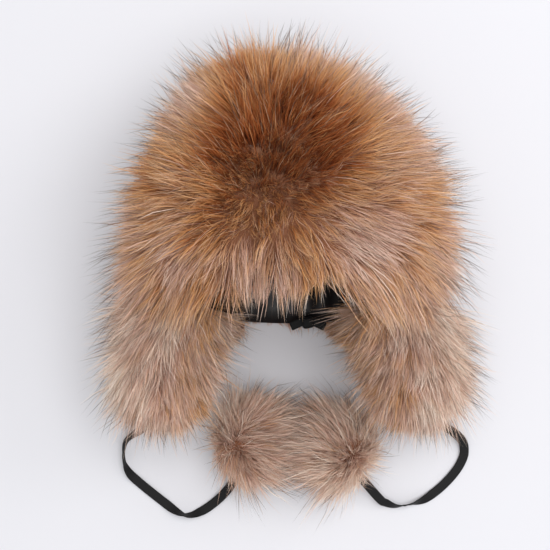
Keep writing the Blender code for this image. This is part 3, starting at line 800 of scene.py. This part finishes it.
def flapSkins(side):
    # The panel as a round grid: round its edge one way and down to its tip the other
    turn, down = np.meshgrid(np.linspace(0, 2 * math.pi, 121), np.linspace(0, 1, 56), indexing="xy")
    along = 0.5 + 0.5 * np.cos(turn)
    face = np.sin(turn)
    facing = np.abs(face) ** 0.6 * np.sign(face)
    middle = flapPoint(side, along, down)
    step = 0.01
    normal = unit(mix(flapNormal(side, along, down), np.array([side, 0.0, 0.0]), flapFur["evenness"]))
    across = unit(flapPoint(side, along + step, down) - flapPoint(side, along - step, down))
    fall = unit(flapPoint(side, along, down + step) - flapPoint(side, along, down - step))
    square = unit(across - fall * (across * fall).sum(-1, keepdims=True))
    share = np.interp(along, [row[0] for row in innerReach], [row[1] for row in innerReach])
    inner = flapFur["inner"] * share
    sideReach = np.where(face > 0, flapFur["outer"], inner)
    edgeReach = np.where(np.cos(turn) > 0, flapFur["front"], flapFur["nape"])
    edge = np.sign(np.cos(turn)) * np.abs(np.cos(turn)) ** 3
    tipShare = smoothStep((down - flapFur["tipStart"]) / (1 - flapFur["tipStart"]))
    shrink = np.sqrt(np.clip(1 - tipShare ** 2, 0, 1))
    out = (normal * (facing * sideReach * shrink)[..., None] + square * (edge * edgeReach * shrink)[..., None]
           + np.array([0.0, -1.0, 0.0]) * (flapFur["tip"] * tipShare)[..., None])
    reach = np.linalg.norm(out, axis=-1)
    skin = middle + normal * (facing * flap["wall"] / 2 * shrink)[..., None]
    out = unit(out)
    lumps = woolLumps(skin, 80 + side, 84 + side)
    height = reach * flapFur["woolShare"] * lumps * smoothStep(down / 0.05 + 0.3)    # low at the crown's rim
    grown = press(skin + out * height[..., None])
    for grid in (skin, grown, out):
        grid[:, -1] = grid[:, 0]
    grown[-1] = grown[-1].mean(0)
    return skin, out, reach, grown, along, down


def flapTones(points, side):
    # Tan in the middle, pale outwards, mauve brown in patches
    outward = np.clip((points[..., 0] * side - 0.100) / 0.040, 0, 1)
    inward = smoothStep((0.095 - points[..., 0] * side) / 0.03)
    tone = mix(0.58, 0.84, outward ** 1.3) - 0.10 * inward
    return tone + 0.11 * waves(points, 0.026, 15 + side) + 0.06 * waves(points, 0.012, 19)


def makeFlap(side, word, node, seed):
    rng = np.random.default_rng(seed)
    skin, out, reach, grown, along, down = flapSkins(side)
    rows, columns = grown.shape[0] - 1, grown.shape[1] - 1
    top = flapPoint(side, along[0], 0.0).mean(0)
    verts = np.concatenate([grown[:-1, :-1].reshape(-1, 3), grown[-1:, 0], top[None]])
    faces = []
    for j in range(columns):
        after = (j + 1) % columns
        for k in range(rows - 1):
            here, below = k * columns, (k + 1) * columns
            faces.append((here + j, here + after, below + after, below + j))
        last = (rows - 1) * columns
        faces += [(last + j, last + after, rows * columns), (after, j, rows * columns + 1)]
    finishShell(f"flap{word}Wool", verts, faces, woolMaterial, node)

    count = flapFur["hairs"]
    left = (reach - np.linalg.norm(grown - skin, axis=-1))[..., None]
    front = smoothStep((along - 0.55) / 0.4)[..., None]
    roots, way, left, front, low = scatterRoots(grown, [out, left, front, down[..., None]], count, rng)
    kinds = mixedHair(count, rng, flapFur["guardShare"])
    way = unit(way)
    roots = roots - way * flapFur["rootDepth"]
    lengths = np.maximum(left[:, 0], flapFur["least"]) * kinds["longer"] + flapFur["rootDepth"]
    drop = np.array([0.0, -1.0, 0.0]) * (0.15 + 0.65 * low + 0.55 * front)
    ragged = waveVectors(roots, 0.028, 70) * 0.34 + waveVectors(roots, 0.011, 77) * 0.18
    scatter = rng.normal(size=(count, 3)) * flapFur["scatter"]
    ways = unit(way + 0.5 * drop + 0.5 * ragged + scatter)
    bends = unit(way * 0.85 + 1.3 * drop + ragged + scatter * 1.5)
    tones = flapTones(roots + ways * 0.02, side)
    chance = rng.random(count)
    paler = chance > 1 - flapFur["pale"]["share"]
    tones = np.where(paler, tones + rng.uniform(*flapFur["pale"]["more"], count), tones)
    darker = (chance > 0.55) & (chance < 0.55 + flapFur["dark"]["share"])
    tones = np.where(darker, tones - rng.uniform(*flapFur["dark"]["less"], count), tones)
    guard = kinds["guard"] & (chance < flapFur["blackShare"])
    tones = np.where(guard, guardHair, tones)
    hairs = {**kinds, "roots": roots, "ways": ways, "bends": bends, "lengths": lengths, "tones": tones,
             "guard": guard}
    growFur(f"flap{word}Fur", hairs, flapFur["look"], rng)


makeFlap(-1, "Left", "ear_flap_left", 12)
makeFlap(1, "Right", "ear_flap_right", 14)
print("flaps done")

# Pompoms: strips of the same fur gathered to a ball, the hair drawn away from where each is tied

pompomFur = {
    "hairs": 19500,
    "gather": {"left": (-0.95, -0.15, -0.05), "right": (0.95, -0.35, -0.10)},   # the way to the tied point
    "tone": 0.66,
    "guardShare": 0.05,
    "blackShare": 0.4,
    "scatter": 0.16,
    "pale": {"share": 0.16, "more": (0.10, 0.26)},
    "dark": {"share": 0.15, "less": (0.08, 0.22)},
    "look": {"width": 0.00052, "hairsInLock": 260, "hairsInTuft": 20, "lockPull": 0.5,
             "tuftTone": 0.035, "hairTone": 0.045},
}


def makePompom(which, word, node, seed):
    rng = np.random.default_rng(seed)
    middle = np.array(pompom[which])
    bpy.ops.object.select_all(action="DESELECT")
    bpy.ops.mesh.primitive_ico_sphere_add(subdivisions=4, radius=pompom["core"] * 1.05,
                                          location=pompom[which])
    wool = bpy.context.object
    wool.name = f"pompom{word}Wool"
    bpy.ops.object.transform_apply(location=True, rotation=False, scale=False)
    spots = np.empty(len(wool.data.vertices) * 3)
    wool.data.vertices.foreach_get("co", spots)
    spots = spots.reshape(-1, 3)
    lumps = 1 + 0.10 * waves(spots, 0.014, 51) + 0.06 * waves(spots, 0.006, 52)
    wool.data.vertices.foreach_set("co", press(middle + (spots - middle) * lumps[:, None]).ravel())
    wool.data.materials.append(woolMaterial)
    bpy.ops.object.shade_smooth()
    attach(wool, "root")
    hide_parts(node)

    count = pompomFur["hairs"]
    out = unit(rng.normal(size=(count, 3)))
    tied = unit(np.array(pompomFur["gather"][which]))
    away = out - tied
    strength = smoothStep(np.linalg.norm(away, axis=-1) / 0.8)[:, None]
    flow = unit(away - out * (away * out).sum(-1, keepdims=True)) * strength
    ragged = waveVectors(out * 0.04, 0.022, 90 + seed) * 0.36
    scatter = rng.normal(size=(count, 3)) * pompomFur["scatter"]
    roots = middle + out * pompom["core"] * rng.uniform(0.55, 1.0, count)[:, None]
    kinds = mixedHair(count, rng, pompomFur["guardShare"])
    reach = pompom["radius"] - np.linalg.norm(roots - middle, axis=1)
    lengths = reach * kinds["longer"] * (1.05 + 0.45 * np.linalg.norm(flow, axis=1))
    ways = unit(out + 0.7 * flow + 0.5 * ragged + scatter)
    bends = unit(0.6 * out + 1.1 * flow + ragged + scatter * 1.5)
    tones = pompomFur["tone"] + 0.10 * waves(roots, 0.02, 33) + 0.06 * waves(roots, 0.008, 35)
    chance = rng.random(count)
    paler, darker = chance > 1 - pompomFur["pale"]["share"], chance < pompomFur["dark"]["share"]
    tones = np.where(paler, tones + rng.uniform(*pompomFur["pale"]["more"], count), tones)
    tones = np.where(darker, tones - rng.uniform(*pompomFur["dark"]["less"], count), tones)
    guard = kinds["guard"] & (chance < pompomFur["blackShare"])
    tones = np.where(guard, guardHair, tones)
    hairs = {**kinds, "roots": roots, "ways": ways, "bends": bends, "lengths": lengths, "tones": tones,
             "guard": guard}
    return [wool, growFur(f"pompom{word}Fur", hairs, pompomFur["look"], rng)]


balls = {"left": makePompom("left", "Left", "pompom_left", 20),
         "right": makePompom("right", "Right", "pompom_right", 22)}
print("pompoms done")

for which, side, route in (("left", -1, routeLeft), ("right", 1, routeRight)):
    ribbon, path, run = makeTie(f"tie{which.title()}Ribbon", f"tie_{which}", side, route, pompom[which])
print("ties done")

# Knot of the drawstring at the lining's nape edge: a wrapped band with two short folded ends

knot = {
    "place": (0.0180, -0.0690, 0.0245),
    "band": (0.0110, 0.0100, 0.0090),
    "end": (0.0120, 0.0075, 0.0030),
    "spread": 24.0,    # degrees
}


def addSoftBlock(name, size, place, turn):
    # A block with its edges rounded away, like folded cloth
    bpy.ops.object.select_all(action="DESELECT")
    bpy.ops.mesh.primitive_cube_add(size=1.0, location=place, rotation=(0, 0, math.radians(turn)))
    block = bpy.context.object
    block.name = name
    block.scale = size
    bpy.ops.object.transform_apply(location=True, rotation=True, scale=True)
    rounding = block.modifiers.new("rounding", "BEVEL")
    rounding.width = min(size) * 0.35
    rounding.segments = 3
    bpy.ops.object.modifier_apply(modifier=rounding.name)
    bpy.ops.object.shade_smooth()
    return block


def makeKnot():
    x, y, z = knot["place"]
    blocks = [addSoftBlock("drawstringKnotRibbon", knot["band"], (x, y, z), 12.0)]
    for side in (-1, 1):
        reach = knot["band"][0] / 2 + knot["end"][0] / 3
        place = (x + side * reach, y - 0.0012, z + side * 0.0012)
        blocks.append(addSoftBlock("foldedEnd", knot["end"], place, -side * knot["spread"]))
    bpy.ops.object.select_all(action="DESELECT")
    for block in blocks:
        block.select_set(True)
    bpy.context.view_layer.objects.active = blocks[0]
    bpy.ops.object.join()
    blocks[0].data.materials.append(ribbonMaterial)
    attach(blocks[0], "root")
    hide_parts("drawstring_knot")


makeKnot()
print("knot done")

# Black polyester lining, smooth and slightly glossy: a 1.1 mm weave, and painted shade and light of folds
# that shift its black

liningMaterial, tree, shader = newMaterial("blackPolyesterLining", 0.42, sheen=0.03, specular=0.3)
spot = addNode(tree, "ShaderNodeTexCoord")
weave = addNode(tree, "ShaderNodeTexNoise", {"Vector": spot.outputs["Object"], "Scale": 900.0, "Detail": 2.0})
foldShadeNoise = addNode(tree, "ShaderNodeTexNoise", {"Vector": spot.outputs["Object"], "Scale": 70.0, "Detail": 3.0})
# Painted shade and light of folds: the black goes darker and lighter in soft lumps
liningBlackAndFoldShade = mixColours(tree, foldShadeNoise.outputs["Fac"], hexColour("#100e0f"), hexColour("#221e1f"))
tree.links.new(liningBlackAndFoldShade, shader.inputs["Base Color"])
liningBump = addNode(tree, "ShaderNodeBump",
                     {"Height": weave.outputs["Fac"], "Strength": 0.3, "Distance": 0.0003})
tree.links.new(liningBump.outputs["Normal"], shader.inputs["Normal"])

lining = {"gathers": 30, "gatherDepth": 0.0011, "hemDepth": 0.0006}


def makeLining():
    # A cloth wall with soft gathers, and a rolled hem along the rim
    rise, angle = np.meshgrid(np.linspace(0, math.pi / 2, 36), np.linspace(0, 2 * math.pi, 181),
                              indexing="ij")
    uneven = 1.5 * np.sin(angle * 5)
    gathers = lining["gatherDepth"] * np.cos(angle * lining["gathers"] + uneven)
    gathers = gathers * smoothStep(rise / 0.06) * np.cos(rise)
    hem = lining["hemDepth"] * np.exp(-((rise - 0.035) / 0.018) ** 2)
    inner = domePoint(angle, rise, 0.0)
    middle = np.array([0.0, hat["sideRimY"], middleZ])
    inward = unit(middle - inner)
    inner = inner + inward * (np.maximum(gathers, -0.0004) + hem + 0.0004)[..., None]
    outer = domePoint(angle, rise, hat["lining"])
    for grid in (inner, outer):
        grid[:, -1] = grid[:, 0]
        grid[-1] = grid[-1, 0]
    closedShell("crownLiningCloth", outer, inner, liningMaterial, "crown_lining")


makeLining()
print("lining done")

# Floor and light: a pale surface under soft, even light, a little stronger from the right

floorMaterial, tree, shader = newMaterial("paleTable", 0.9, specular=0.1)
shader.inputs["Base Color"].default_value = hexColour("#dcdce1")
bpy.ops.object.select_all(action="DESELECT")
bpy.ops.mesh.primitive_plane_add(size=8.0, location=(0, 0, 0))
floor = bpy.context.object
floor.name = "tableTop"
floor.data.materials.append(floorMaterial)

world = bpy.data.worlds.new("softRoom")
world.use_nodes = True
world.node_tree.nodes["Background"].inputs["Color"].default_value = (1, 1, 1, 1)
world.node_tree.nodes["Background"].inputs["Strength"].default_value = 0.55
scene.world = world
lamps = [    # name, place, size, power
    ("overheadLamp", (0.25, 0.10, 2.1), 1.6, 34.0),
    ("sideLamp", (1.5, 0.7, 1.5), 1.0, 9.0),
]
for name, place, size, power in lamps:
    data = bpy.data.lights.new(name, "AREA")
    data.size = size
    data.energy = power
    lamp = bpy.data.objects.new(name, data)
    lamp.location = place
    lamp.rotation_euler = (Vector((0, 0, 0.05)) - Vector(place)).to_track_quat("-Z", "Y").to_euler()
    scene.collection.objects.link(lamp)
scene.view_settings.view_transform = "Standard"
